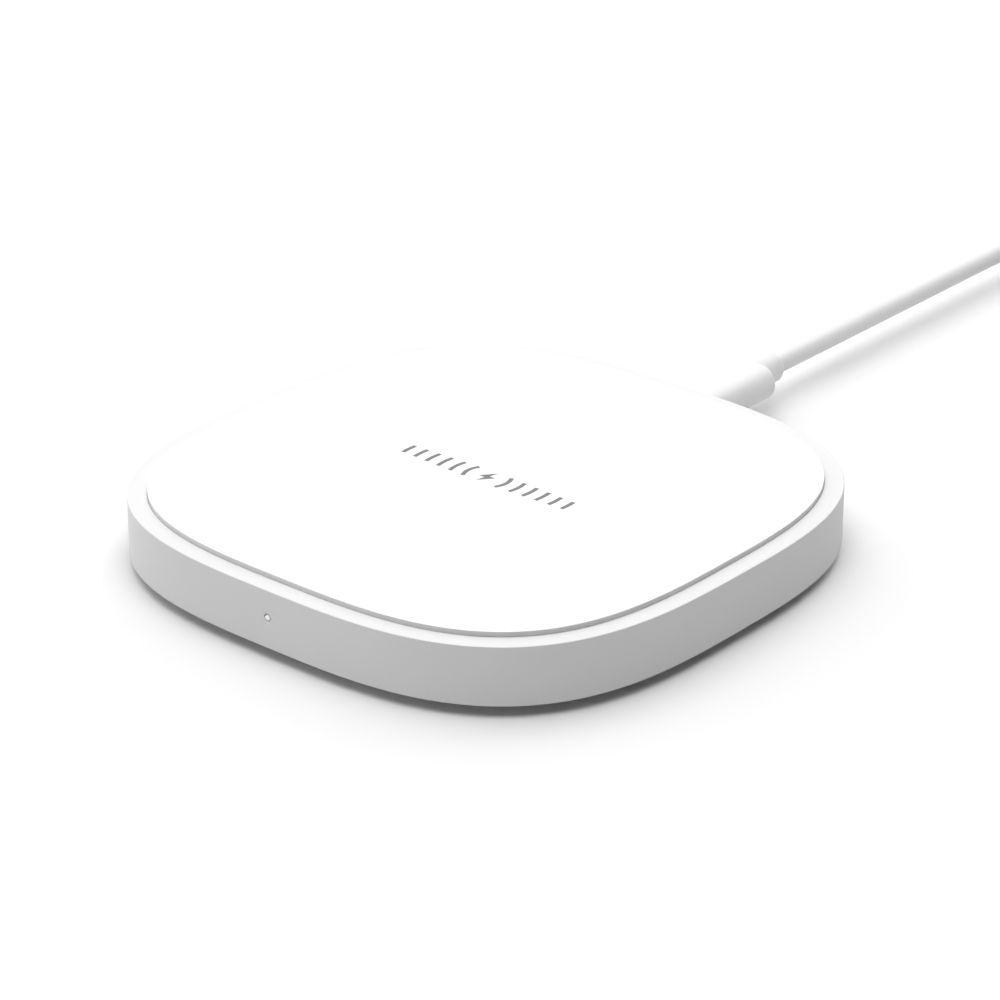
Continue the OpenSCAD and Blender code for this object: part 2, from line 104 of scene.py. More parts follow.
# The cable's route where it isn't coiled, in millimetres, the same points as in the CAD source
RUN_POINTS = [
    (0, 75.3, 7.1), (0, 80, 7.1), (0, 88, 7.1), (0, 96, 7.1), (0, 106, 7.1), (0, 116, 7.1),
    (0, 126, 7.1), (0, 136, 7.1), (0, 145, 7.05), (0, 152, 6.85), (0, 158, 6.5), (0, 163, 6.15),
    (0, 168, 5.85),
]
END_POINTS = [
    (56, 168, 1.9), (56, 165.5, 2.0), (56, 162.5, 2.4), (56, 159.5, 3.1), (56, 157, 3.75),
    (56, 155.5, 3.9), (56, 154, 3.9),
]


def low(node):
    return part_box(node)[0]


def high(node):
    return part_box(node)[1]


def extent(node):
    """The node's size on X and on Z."""
    return high(node).x - low(node).x, high(node).z - low(node).z


def middle(node):
    """The node's middle on X and on Z."""
    return (low(node).x + high(node).x) / 2, (low(node).z + high(node).z) / 2


HALF = high("housing").x
FLOOR_GAP = low("housing").z
RIM_Z = high("housing").z
TOP_Z = high("top_plate").z
PLATE_Z = low("top_plate").z
DECK_TOP = low("plate_tape").z
DECK_Z = DECK_TOP - DECK
COVER_TOP = FLOOR_GAP + COVER
GROOVE_Z = high("foot_tape").z
PORT_Z = middle("socket_shell")[1]

# ---- Materials ----

NOISE_LOW, NOISE_HIGH = 0.25, 0.75     # most of a noise's values lie between these
PATCH = 14 * MM            # size of the slow changes of tone in a moulding
# Between these two the painted shade on upright faces fades in, and level faces keep their full tone
FACE_UPRIGHT = 0.3         # a face whose normal's Z is below this counts as upright
FACE_LEVEL = 0.8           # and one above this as level
WHITE = (0.67, 0.67, 0.67)
PLATE_WHITE = (0.79, 0.79, 0.79)
CABLE_WHITE = (0.72, 0.72, 0.72)
# Painted shade: the casing's upright faces are painted darker than its level ones, standing in for the shade
# on its side walls
CASING_SIDE_SHADE = 0.91         # how light the upright faces are beside the level ones
# Painted shade: the top plate's upright edge is painted darker than its top
PLATE_SIDE_SHADE = 0.8


def new_tree(name):
    """A material with its node tree and its Principled shader."""
    material = bpy.data.materials.new(name)
    material.use_nodes = True
    tree = material.node_tree
    return material, tree, tree.nodes["Principled BSDF"]


def add(tree, kind, **values):
    """A new node. A value whose name is one of the node's inputs sets that input, and any other value sets
    the attribute of that name."""
    node = tree.nodes.new(kind)
    for key, value in values.items():
        if key in node.inputs:
            node.inputs[key].default_value = value
        else:
            setattr(node, key, value)
    return node


def set_inputs(node, values):
    for key, value in values.items():
        node.inputs[key].default_value = value


def math_node(tree, operation, first, second=0):
    """The result of a Math node on two values, each a socket or a number."""
    node = add(tree, "ShaderNodeMath", operation=operation)
    for value, socket in zip((first, second), node.inputs):
        if isinstance(value, (int, float)):
            socket.default_value = value
        else:
            tree.links.new(value, socket)
    return node.outputs["Value"]


def mapped(tree, value, span, result, **values):
    """The value's span, a pair of numbers, mapped to the pair in result."""
    node = add(tree, "ShaderNodeMapRange", **values)
    set_inputs(node, {"From Min": span[0], "From Max": span[1], "To Min": result[0], "To Max": result[1]})
    tree.links.new(value, node.inputs["Value"])
    return node.outputs["Result"]


def noise(tree, size, detail=2.0, stretch=(1, 1, 1)):
    """Noise whose lumps are about size metres, in the piece's own coordinates."""
    place = add(tree, "ShaderNodeTexCoord")
    mapping = add(tree, "ShaderNodeMapping", Scale=[s / size for s in stretch])
    tree.links.new(place.outputs["Object"], mapping.inputs["Vector"])
    grain = add(tree, "ShaderNodeTexNoise", Scale=1.0, Detail=detail, Roughness=0.55)
    tree.links.new(mapping.outputs["Vector"], grain.inputs["Vector"])
    return grain.outputs["Fac"]


def spread(tree, value, centre, half):
    """A number that runs from centre - half to centre + half over a noise's values."""
    return mapped(tree, value, (NOISE_LOW, NOISE_HIGH), (centre - half, centre + half))


def tinted(tree, value, one, two):
    """A colour that runs from one to two with value."""
    mix = add(tree, "ShaderNodeMix", data_type="RGBA", A=(*one, 1), B=(*two, 1))
    tree.links.new(value, mix.inputs["Factor"])
    return mix.outputs["Result"]


def bumped(tree, shader, value, depth):
    """Bumps of that depth in metres."""
    bump = add(tree, "ShaderNodeBump", Strength=1.0, Distance=depth)
    tree.links.new(value, bump.inputs["Height"])
    tree.links.new(bump.outputs["Normal"], shader.inputs["Normal"])


def painted_side_shade(tree, tone, side):
    """The tone, side times as light on upright faces as on level ones: painted shade on the upright faces."""
    place = add(tree, "ShaderNodeTexCoord")
    split = add(tree, "ShaderNodeSeparateXYZ")
    tree.links.new(place.outputs["Normal"], split.inputs["Vector"])
    level = math_node(tree, "ABSOLUTE", split.outputs["Z"])
    share = mapped(tree, level, (FACE_UPRIGHT, FACE_LEVEL), (side, 1), interpolation_type="SMOOTHSTEP")
    scale = add(tree, "ShaderNodeVectorMath", operation="SCALE")
    tree.links.new(tone, scale.inputs["Vector"])
    tree.links.new(share, scale.inputs["Scale"])
    return scale.outputs["Vector"]


def plastic(name, colour, rough, grain=0.22 * MM, depth=0.004 * MM, shift=0.012, soft=0.0, side=1.0,
            shine=0.5):
    """Moulded plastic: fine spark-eroded grain, and slow changes of tone by shift each way. soft lets light
    in, side is how light its upright faces are (painted shade), and shine is its specular level."""
    material, tree, shader = new_tree(name)
    slow = noise(tree, PATCH, 1.0)
    fine = noise(tree, grain, 3.0)
    darker = [c * (1 - shift) for c in colour]
    lighter = [min(1, c * (1 + shift)) for c in colour]
    tone = tinted(tree, slow, darker, lighter)
    # Painted shade: upright faces get a darker tone than level ones
    if side < 1:
        tone = painted_side_shade(tree, tone, side)
    tree.links.new(tone, shader.inputs["Base Color"])
    tree.links.new(spread(tree, fine, rough, 0.05), shader.inputs["Roughness"])
    bumped(tree, shader, fine, depth)
    set_inputs(shader, {"Specular IOR Level": shine})
    if soft:
        set_inputs(shader, {"Subsurface Weight": soft, "Subsurface Scale": 0.4 * MM})
    return material


def rubber(name, colour, rough=0.6, grain=0.35 * MM, depth=0.012 * MM):
    """Silicone or soft plastic: duller, with a broader grain."""
    return plastic(name, colour, rough, grain, depth, shift=0.03)


def metal(name, colour, rough, brush=(1, 1, 1), depth=0.0015 * MM):
    """Plated metal with fine marks. brush stretches them."""
    material, tree, shader = new_tree(name)
    set_inputs(shader, {"Metallic": 1.0})
    marks = noise(tree, 0.08 * MM, 3.0, brush)
    slow = noise(tree, 3 * MM, 1.0)
    darker = [c * 0.92 for c in colour]
    tree.links.new(tinted(tree, slow, darker, colour), shader.inputs["Base Color"])
    tree.links.new(spread(tree, marks, rough, 0.07), shader.inputs["Roughness"])
    bumped(tree, shader, marks, depth)
    return material


def board(name):
    """Green solder mask with faint tracks under it."""
    material, tree, shader = new_tree(name)
    mask, lighter_mask, track = (0.012, 0.13, 0.05, 1), (0.02, 0.17, 0.07, 1), (0.04, 0.27, 0.12, 1)
    place = add(tree, "ShaderNodeTexCoord")
    tracks = add(tree, "ShaderNodeTexBrick", Scale=260.0, offset=0.35)
    set_inputs(tracks, {"Mortar Size": 0.035, "Color1": mask, "Color2": lighter_mask, "Mortar": track})
    tree.links.new(place.outputs["Object"], tracks.inputs["Vector"])
    tree.links.new(tracks.outputs["Color"], shader.inputs["Base Color"])
    fine = noise(tree, 0.4 * MM)
    tree.links.new(spread(tree, fine, 0.3, 0.06), shader.inputs["Roughness"])
    bumped(tree, shader, tracks.outputs["Fac"], 0.02 * MM)
    return material


def weave(name, colour):
    """A fine woven strap: waves along X and Y, crossed by waves along Z."""
    material, tree, shader = new_tree(name)
    place = add(tree, "ShaderNodeTexCoord")
    waves = []
    for direction in ("X", "Y", "Z"):
        wave = add(tree, "ShaderNodeTexWave", Scale=420.0, Distortion=1.2, bands_direction=direction)
        tree.links.new(place.outputs["Object"], wave.inputs["Vector"])
        waves.append(wave.outputs["Fac"])
    either = math_node(tree, "MAXIMUM", waves[0], waves[1])
    threads = math_node(tree, "MULTIPLY", either, waves[2])
    darker = [c * 0.7 for c in colour]
    tree.links.new(tinted(tree, threads, darker, colour), shader.inputs["Base Color"])
    set_inputs(shader, {"Roughness": 0.85, "Sheen Weight": 0.3})
    bumped(tree, shader, threads, 0.08 * MM)
    return material


def litz(name, colour):
    """Enamelled wire of fine strands."""
    material, tree, shader = new_tree(name)
    set_inputs(shader, {"Metallic": 0.85})
    strands = noise(tree, 0.12 * MM, 2.0, (1, 1, 0.5))
    darker = [c * 0.55 for c in colour]
    tree.links.new(tinted(tree, strands, darker, colour), shader.inputs["Base Color"])
    tree.links.new(spread(tree, strands, 0.35, 0.1), shader.inputs["Roughness"])
    bumped(tree, shader, strands, 0.03 * MM)
    return material


MATERIALS = {
    # The casing's plastic carries painted shade on its upright faces
    "casing_white": plastic("casing_white", WHITE, 0.5, side=CASING_SIDE_SHADE, shine=0.25),
    "cover_white": plastic("cover_white", (0.82, 0.82, 0.815), 0.55, 0.4 * MM, 0.012 * MM, shift=0.02),
    "foot_rubber": rubber("foot_rubber", (0.5, 0.5, 0.5)),
    "adhesive": plastic("adhesive", (0.7, 0.7, 0.67), 0.5, 0.5 * MM, 0.01 * MM, shift=0.05),
    "screw_steel": metal("screw_steel", (0.62, 0.62, 0.62), 0.32),
    "copper": litz("copper", (0.72, 0.36, 0.16)),
    "ferrite": plastic("ferrite", (0.035, 0.035, 0.038), 0.6, 0.3 * MM, 0.02 * MM, shift=0.15),
    "foam": rubber("foam", (0.02, 0.02, 0.022), 0.9, 0.5 * MM, 0.08 * MM),
    "board_green": board("board_green"),
    "thermal_grey": rubber("thermal_grey", (0.32, 0.38, 0.45), 0.7),
    "chip_black": plastic("chip_black", (0.015, 0.015, 0.016), 0.55, 0.15 * MM, 0.01 * MM, shift=0.2),
    "ceramic_tan": plastic("ceramic_tan", (0.42, 0.28, 0.15), 0.5, 0.2 * MM, 0.01 * MM, shift=0.1),
    "bead_brown": plastic("bead_brown", (0.12, 0.045, 0.015), 0.25),
    "led_cream": plastic("led_cream", (0.85, 0.8, 0.55), 0.3),
    "lens_milky": plastic(
        "lens_milky", (0.93, 0.93, 0.93), 0.25, 0.3 * MM, 0.002 * MM, shift=0.01, soft=0.3,
    ),
    "connector_steel": metal(
        "connector_steel", (0.78, 0.78, 0.79), 0.33, brush=(1, 0.25, 1), depth=0.0004 * MM,
    ),
    "contact_gold": metal("contact_gold", (0.83, 0.6, 0.2), 0.25),
    "insulator_dark": plastic(
        "insulator_dark", (0.03, 0.03, 0.033), 0.45, 0.2 * MM, 0.006 * MM, shift=0.1,
    ),
    "insulator_white": plastic("insulator_white", (0.75, 0.75, 0.74), 0.4),
    "grip_white": plastic("grip_white", CABLE_WHITE, 0.38, 0.25 * MM),
    "jacket_white": plastic("jacket_white", CABLE_WHITE, 0.45, 0.5 * MM, 0.008 * MM, shift=0.015),
    "tie_grey": weave("tie_grey", (0.62, 0.62, 0.62)),
}

# ---- Shapes ----

SHARP = math.radians(35)   # edges sharper than this stay sharp when shaded
OVERLAP = 0.2 * MM         # how far pieces reach into each other before they are joined
BEYOND = 1 * MM            # how far a cutting piece reaches past what it cuts


def outline(inset, count=256):
    """The pad's soft-square outline as (x, y) points, moved in by inset at right angles to itself."""
    points = []
    for i in range(count):
        t = 2 * math.pi * i / count
        c, s = math.cos(t), math.sin(t)
        r = HALF / (abs(c) ** SQUARENESS + abs(s) ** SQUARENESS) ** (1 / SQUARENESS)
        normal = Vector((
            math.copysign(abs(c) ** (SQUARENESS - 1), c),
            math.copysign(abs(s) ** (SQUARENESS - 1), s),
        )).normalized()
        points.append((r * c - inset * normal.x, r * s - inset * normal.y))
    return points


def rounded(corners, steps=5, hold=0.05 * MM, closed=False):
    """The line through corners, each (a, b) or (a, b, radius). A rounded corner becomes an arc, with a point
    beside each end of it, hold away, so that the flat next to it stays flat when it is shaded."""
    corners = [(*c, 0)[:3] for c in corners]
    count, line = len(corners), []
    for i, (a, b, radius) in enumerate(corners):
        at_end = not closed and i in (0, count - 1)
        here = Vector((a, b))
        if at_end or radius == 0:
            line.append(here)
            continue
        back = (Vector(corners[i - 1][:2]) - here).normalized()
        on = (Vector(corners[(i + 1) % count][:2]) - here).normalized()
        half = back.angle(on) / 2
        reach = radius / math.tan(half)
        hub = here + (back + on).normalized() * (radius / math.sin(half))
        first, last = here + back * reach, here + on * reach
        swing = (math.pi - 2 * half) * math.copysign(1, on.x * back.y - on.y * back.x)
        arm = first - hub
        line.append(first + back * hold)
        for k in range(steps + 1):
            c, s = math.cos(swing * k / steps), math.sin(swing * k / steps)
            line.append(hub + Vector((c * arm.x - s * arm.y, s * arm.x + c * arm.y)))
        line.append(last + on * hold)
    return line


def circle(radius, count, start=0.0):
    """Points round the origin. start is how far along its first step the first point lies."""
    turn = [2 * math.pi * (i + start) / count for i in range(count)]
    return [(radius * math.cos(t), radius * math.sin(t)) for t in turn]


def disc(radius, count=64):
    """A round section, as (x, z) points."""
    return circle(radius, count, 0.5)


def oval(width, height, count=96):
    """A section with two straight sides and half-round ends, as (x, z) points."""
    straight = (width - height) / 2
    return [(math.copysign(straight, x) + x, z) for x, z in circle(height / 2, count, 0.5)]


def soft_box(width, height, radius, count=96):
    """A rectangular section with round corners, as (x, z) points."""
    across, up = width / 2 - radius, height / 2 - radius
    corner = circle(radius, count, 0.5)
    return [(math.copysign(across, x) + x, math.copysign(up, z) + z) for x, z in corner]


def mesh_object(name, mesh):
    piece = bpy.data.objects.new(name, mesh)
    bpy.context.scene.collection.objects.link(piece)
    return piece


def smooth(piece):
    """Smooth shading, with sharp edges kept."""
    mesh = piece.data
    mesh.polygons.foreach_set("use_smooth", [True] * len(mesh.polygons))
    mesh.set_sharp_from_angle(angle=SHARP)
    mesh.update()
    return piece


def loft(name, rings, closed=False):
    """A skin over rings that all have the same number of points. The ends are capped unless it is closed."""
    count = len(rings[0])
    vertices = [tuple(p) for ring in rings for p in ring]
    spans = len(rings) if closed else len(rings) - 1
    faces = []
    for k in range(spans):
        a, b = k * count, (k + 1) % len(rings) * count
        for i in range(count):
            j = (i + 1) % count
            faces.append((a + i, a + j, b + j, b + i))
    if not closed:
        faces.append(tuple(range(count))[::-1])
        faces.append(tuple(range((len(rings) - 1) * count, len(rings) * count)))
    mesh = bpy.data.meshes.new(name)
    mesh.from_pydata(vertices, [], faces)
    work = bmesh.new()
    work.from_mesh(mesh)
    bmesh.ops.recalc_face_normals(work, faces=work.faces)
    work.to_mesh(mesh)
    work.free()
    return smooth(mesh_object(name, mesh))


def pad_loft(name, corners, closed=False, count=256):
    """A piece with the pad's outline. corners are (inset, height, radius)."""
    line = rounded(corners, closed=closed)
    rings = [[(x, y, p.y) for x, y in outline(p.x, count)] for p in line]
    return loft(name, rings, closed)


def y_loft(name, section, corners, x=0.0, z=PORT_Z, steps=5, closed=False):
    """A piece that runs along Y. section(grow) gives its outline grown by grow, and corners are
    (grow, y, radius)."""
    line = rounded(corners, steps=steps, closed=closed)
    rings = [[(x + a, p.y, z + b) for a, b in section(p.x)] for p in line]
    return loft(name, rings, closed)


def upright(name, x, y, corners, count=32, closed=False):
    """A turned piece about a vertical axis. corners are (radius, z)."""
    rings = [[(x + a, y + b, z) for a, b in circle(r, count)] for r, z in corners]
    return loft(name, rings, closed)


def upright_box(name, x, y, width, depth, bottom, top, radius):
    """A block with round upright edges."""
    ring = soft_box(width, depth, radius, 32)
    return loft(name, [[(x + a, y + b, z) for a, b in ring] for z in (bottom, top)])


def four(x, y):
    """The four places at plus and minus x and plus and minus y."""
    return [(sx * x, sy * y) for sx in (-1, 1) for sy in (-1, 1)]


def boolean(piece, other, operation):
    """Joins other to piece or cuts it away, and deletes other."""
    modifier = piece.modifiers.new("boolean", "BOOLEAN")
    modifier.object = other
    modifier.operation = operation
    modifier.solver = "EXACT"
    evaluated = piece.evaluated_get(bpy.context.evaluated_depsgraph_get())
    mesh = bpy.data.meshes.new_from_object(evaluated)
    piece.modifiers.clear()
    piece.data = mesh
    bpy.data.objects.remove(other)
    return piece


def cut(piece, other):
    return boolean(piece, other, "DIFFERENCE")


def join(piece, other):
    return boolean(piece, other, "UNION")


def finished(piece, slot, body, *nodes):
    """Gives a piece its material, its body and the CAD nodes that it stands for."""
    piece.data.materials.clear()
    piece.data.materials.append(MATERIALS[slot])
    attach(piece, body)
    if nodes:
        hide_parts(*nodes)


# ---- Casing ----

CAPPED = 20 * MM           # inset of the innermost ring of a casing piece, inside which a flat cap closes it
LIGHT_GAP = 0.06 * MM      # round the light's end, wider than in the CAD, so that its dark ring shows


def top_plate():
    """The plate has the casing's slot, and a plastic of its own that is a little lighter."""
    inner = RIM + 6 * MM
    piece = pad_loft("plate_skin", [
        (inner, PLATE_Z), (RIM, PLATE_Z, 0.12 * MM), (RIM, TOP_Z, 0.13 * MM), (inner, TOP_Z),
    ])
    finished(piece, "casing_white", "pad", "top_plate")
    # The plate's own plastic, with painted shade on its upright edge
    piece.data.materials[0] = plastic("plate_white", PLATE_WHITE, 0.46, 0.25 * MM, side=PLATE_SIDE_SHADE)


def housing():
    """The rim, the side wall, the deck with its fence and screw bosses, and the port's and light's holes."""
    step = RIM - RECESS_GAP
    piece = pad_loft("housing_shell", [
        (CAPPED, DECK_TOP), (step, DECK_TOP, 0.1 * MM), (step, RIM_Z, 0.03 * MM), (0, RIM_Z, 0.16 * MM),
        (0, FLOOR_GAP, 0.1 * MM), (LIP, FLOOR_GAP, 0.1 * MM), (LIP, COVER_TOP), (WALL, COVER_TOP),
        (WALL, DECK_Z, 0.3 * MM), (CAPPED, DECK_Z),
    ], count=320)
    under_deck = DECK_Z + OVERLAP
    inner = high("ferrite_shield").x + FENCE_GAP
    outer = inner + FENCE_WALL
    fence = [
        (inner, DECK_Z - FENCE_TALL), (outer, DECK_Z - FENCE_TALL), (outer, under_deck), (inner, under_deck),
    ]
    gate = upright_box(
        "gate", 0, inner + FENCE_WALL / 2, FENCE_GATE, 4 * FENCE_WALL, DECK_Z - FENCE_TALL - BEYOND,
        under_deck + BEYOND, 0.1 * MM,
    )
    piece = join(piece, cut(upright("fence", 0, 0, fence, count=96, closed=True), gate))
    screws = [
        (COVER_BOSS, COVER_BOSS_R, high("bottom_cover").z, COVER_PILOT),
        (BOARD_BOSS, BOARD_BOSS_R, high("circuit_board").z, BOARD_PILOT),
    ]
    for place, radius, bottom, depth in screws:
        for x, y in four(*place):
            piece = join(piece, upright("boss", x, y, [(radius, bottom), (radius, under_deck)]))
    for place, radius, bottom, depth in screws:
        for x, y in four(*place):
            pilot = [(PILOT_R, bottom - BEYOND), (PILOT_R, bottom + depth)]
            piece = cut(piece, upright("bore", x, y, pilot))
    width, height = extent("socket_shell")

    def port(grow):
        wider = 2 * (PORT_GAP + grow)
        return oval(width + wider, height + wider, 64)

    mouth = y_loft("mouth", port, [
        (0, HALF - WALL - BEYOND), (0, HALF, 0.25 * MM), (0.5 * MM, HALF), (0.5 * MM, HALF + BEYOND),
    ])
    piece = cut(piece, mouth)
    light = y_loft("light", lambda grow: disc(LIGHT_R + LIGHT_GAP + grow), [
        (0, -HALF + WALL + BEYOND), (0, -HALF, 0.08 * MM), (0.2 * MM, -HALF), (0.2 * MM, -HALF - BEYOND),
    ], z=LIGHT_Z)
    piece = cut(piece, light)
    finished(smooth(piece), "casing_white", "pad", "housing")


def bottom_cover():
    """The cover, with the foot ring's groove, and with the pads and holes of its screws."""
    edge = LIP + COVER_GAP
    groove_out = FOOT_INSET - FOOT_GAP
    groove_in = FOOT_INSET + FOOT_WIDTH + FOOT_GAP
    piece = pad_loft("cover_shell", [
        (CAPPED, COVER_TOP), (edge, COVER_TOP, 0.1 * MM), (edge, FLOOR_GAP, 0.2 * MM),
        (groove_out, FLOOR_GAP, 0.1 * MM), (groove_out, GROOVE_Z, 0.05 * MM),
        (groove_in, GROOVE_Z, 0.05 * MM), (groove_in, FLOOR_GAP, 0.1 * MM), (CAPPED, FLOOR_GAP),
    ])
    pad_top = high("bottom_cover").z
    pad = [(COVER_BOSS_R, COVER_TOP - 0.3 * MM), (COVER_BOSS_R, pad_top)]
    for x, y in four(*COVER_BOSS):
        piece = join(piece, upright("pad", x, y, pad))
    hole = [
        (SCREW_HEAD_R, FLOOR_GAP - BEYOND), (SCREW_HEAD_R, GROOVE_Z), (SCREW_R, GROOVE_Z + SCREW_CONE),
        (SCREW_R, pad_top + BEYOND),
    ]
    for x, y in four(*COVER_BOSS):
        piece = cut(piece, upright("hole", x, y, hole))
    finished(smooth(piece), "cover_white", "pad", "bottom_cover")


def foot_ring():
    outer, inner, top = FOOT_INSET, FOOT_INSET + FOOT_WIDTH, high("foot_ring").z
    piece = pad_loft("foot_band", [
        (outer, 0, 0.35 * MM), (inner, 0, 0.35 * MM), (inner, top, 0.05 * MM), (outer, top, 0.05 * MM),
    ], closed=True)
    finished(piece, "foot_rubber", "pad", "foot_ring")


def light_pipe():
    """The light's rod, stepped in just behind its faintly domed end, and the block behind the wall that takes
    the light in."""
    end_y = -HALF + 0.05 * MM
    step, step_y = 0.13 * MM, end_y + 0.4 * MM
    rod = y_loft("light_rod", lambda grow: disc(LIGHT_R + grow, 32), [
        (0, -HALF + WALL + OVERLAP), (0, step_y), (-step, step_y), (-step, end_y, 0.06 * MM),
        (-0.35 * MM, end_y - 0.03 * MM),
    ], z=LIGHT_Z)
    front, back = -HALF + WALL + 0.1 * MM, high("light_pipe").y
    width, height = extent("light_pipe")

    def section(grow):
        radius = 0.2 * MM + max(grow, -0.1 * MM)
        return soft_box(width + 2 * grow, height + 2 * grow, radius, 32)

    block = y_loft("block", section, [
        (-0.5 * MM, front), (0, front, 0.1 * MM), (0, back, 0.1 * MM), (-0.5 * MM, back),
    ], z=middle("light_pipe")[1])
    finished(smooth(join(rod, block)), "lens_milky", "pad", "light_pipe")


def printed_mark():
    """A plain charging mark printed on the plate: a bolt with waves that spread from it to both sides."""
    # The bolt's corners, in millimetres
    bolt = [(0.6, 2.05), (-1.4, -0.35), (-0.25, -0.35), (-0.6, -2.05), (1.4, 0.35), (0.25, 0.35)]
    half_tall, stroke = 2.05 * MM, 0.75 * MM
    first_r, last_r, waves = 3.9 * MM, 16.4 * MM, 6
    shorter = 0.05         # each wave is this much shorter than the one before, as a share of the first
    steps = 16             # along each wave
    proud, sunk = 0.012 * MM, 0.02 * MM    # how far the ink stands above the plate and reaches into it
    top, bottom = TOP_Z + proud, TOP_Z - sunk
    work = bmesh.new()

    def prism(points):
        lower = [work.verts.new((x, y, bottom)) for x, y in points]
        upper = [work.verts.new((x, y, top)) for x, y in points]
        work.faces.new(lower[::-1])
        work.faces.new(upper)
        for i in range(len(points)):
            j = (i + 1) % len(points)
            work.faces.new((lower[i], lower[j], upper[j], upper[i]))

    def arc(side, radius, swing):
        turn = [swing * (2 * i / steps - 1) for i in range(steps + 1)]
        return [(side * radius * math.cos(t), radius * math.sin(t)) for t in turn]

    prism([(x * MM, y * MM) for x, y in bolt])
    for k in range(waves):
        r = first_r + (last_r - first_r) * k / (waves - 1)
        swing = math.asin(half_tall * (1 - shorter * k) / r)
        for side in (-1, 1):
            prism(arc(side, r + stroke / 2, swing) + arc(side, r - stroke / 2, swing)[::-1])
    bmesh.ops.recalc_face_normals(work, faces=work.faces)
    mesh = bpy.data.meshes.new("printed_mark")
    work.to_mesh(mesh)
    work.free()
    piece = smooth(mesh_object("printed_mark", mesh))
    ink = plastic("mark_ink", (0.15, 0.15, 0.15), 0.5, 0.15 * MM, 0.002 * MM, shift=0.04)
    piece.data.materials.append(ink)
    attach(piece, "pad")


# ---- Plugs and socket ----

def plug_grip():
    front, back = low("plug_overmould").y, high("plug_overmould").y
    width, height = extent("plug_overmould")
    tip_width, tip_height = extent("plug_shell")
    shrink = (height - tip_height) / 2

    def section(grow):
        """The grip's oval, or the tip's once it has shrunk that far."""
        if grow > -1 * MM:
            return oval(width + 2 * grow, height + 2 * grow)
        share = min(1.0, -grow / shrink)
        return oval(width + (tip_width - width) * share, height + (tip_height - height) * share)

    piece = y_loft("plug_grip", section, [
        (-0.95 * MM, back), (0, back, 0.75 * MM), (0, front, 0.35 * MM), (-0.9 * MM, front),
        (-shrink, front), (-shrink, front + TIP_ROOT),
    ], steps=7)
    finished(piece, "grip_white", "cable", "plug_overmould")


def collar(name, node):
    """A strain relief that narrows a little to its round end, which faces +Y."""
    sunk = 0.3 * MM        # how far it reaches into the grip
    taper = 0.06 * MM
    squeeze = 0.02 * MM    # how far it reaches into the cable
    near, far = low(node).y - sunk, high(node).y
    x, z = middle(node)
    radius = extent(node)[0] / 2
    piece = y_loft(name, lambda grow: disc(radius + grow), [
        (-1.2 * MM, near), (0, near), (-taper, far, 0.7 * MM), (CABLE_R - squeeze - radius, far),
    ], x=x, z=z, steps=7)
    finished(piece, "grip_white", "cable", node)


def plug_tip():
    """The plug's metal tip: a drawn oval tube with a rolled mouth."""
    mouth, root = low("plug_shell").y, high("plug_shell").y
    width, height = extent("plug_shell")
    piece = y_loft("plug_tip", lambda grow: oval(width + 2 * grow, height + 2 * grow), [
        (0, mouth, 0.2 * MM), (0, root, 0.03 * MM), (-METAL, root, 0.03 * MM), (-METAL, mouth, 0.08 * MM),
    ], closed=True)
    finished(piece, "connector_steel", "cable", "plug_shell")


def socket_tube():
    """The socket's shell, an oval tube whose mouth faces +Y."""
    root, mouth = low("socket_shell").y, high("socket_shell").y
    width, height = extent("socket_shell")

    def section(grow):
        return oval(width + 2 * grow, height + 2 * grow * SOCKET_ROOF / METAL)

    piece = y_loft("socket_tube", section, [
        (0, root, 0.1 * MM), (0, mouth, 0.12 * MM), (-METAL, mouth, 0.12 * MM), (-METAL, root, 0.05 * MM),
    ], closed=True)
    finished(piece, "connector_steel", "pad", "socket_shell")


def usb_a_grip():
    front, back = low("usb_a_overmould").y, high("usb_a_overmould").y
    x, z = middle("usb_a_overmould")
    width, height = extent("usb_a_overmould")
    tube_width, tube_height = extent("usb_a_shell")
    shrink = (height - tube_height) / 2

    def section(grow):
        """The grip's section, or the tube's once it has shrunk that far."""
        if grow > -1.1 * MM:
            return soft_box(width + 2 * grow, height + 2 * grow, 2.6 * MM + grow)
        return soft_box(tube_width, tube_height, 0.3 * MM)

    piece = y_loft("usb_a_grip", section, [
        (-1 * MM, back), (0, back, 0.8 * MM), (0, front, 0.5 * MM), (-1 * MM, front),
        (-shrink, front), (-shrink, front + USB_A_ROOT),
    ], x=x, z=z, steps=7)
    finished(piece, "grip_white", "cable", "usb_a_overmould")


def usb_a_tube():
    """The USB-A plug's shell, a flat tube with two latch windows in its upper side."""
    mouth, root = low("usb_a_shell").y, high("usb_a_shell").y
    x, z = middle("usb_a_shell")
    width, height = extent("usb_a_shell")

    def section(grow):
        return soft_box(width + 2 * grow, height + 2 * grow, 0.45 * MM + grow)

    piece = y_loft("usb_a_tube", section, [
        (0, root, 0.03 * MM), (0, mouth, 0.12 * MM), (-METAL, mouth, 0.12 * MM), (-METAL, root, 0.03 * MM),
    ], x=x, z=z, closed=True)
    window_y = mouth + USB_A_WINDOW_Y + USB_A_WINDOW / 2
    top = high("usb_a_shell").z + BEYOND
    for side in (-1, 1):
        window_x = x + side * USB_A_WINDOW_X
        window = upright_box(
            "window", window_x, window_y, USB_A_WINDOW, USB_A_WINDOW, z, top, 0.3 * MM,
        )
        piece = cut(piece, window)
    finished(smooth(piece), "connector_steel", "cable", "usb_a_shell")


# ---- Cable ----

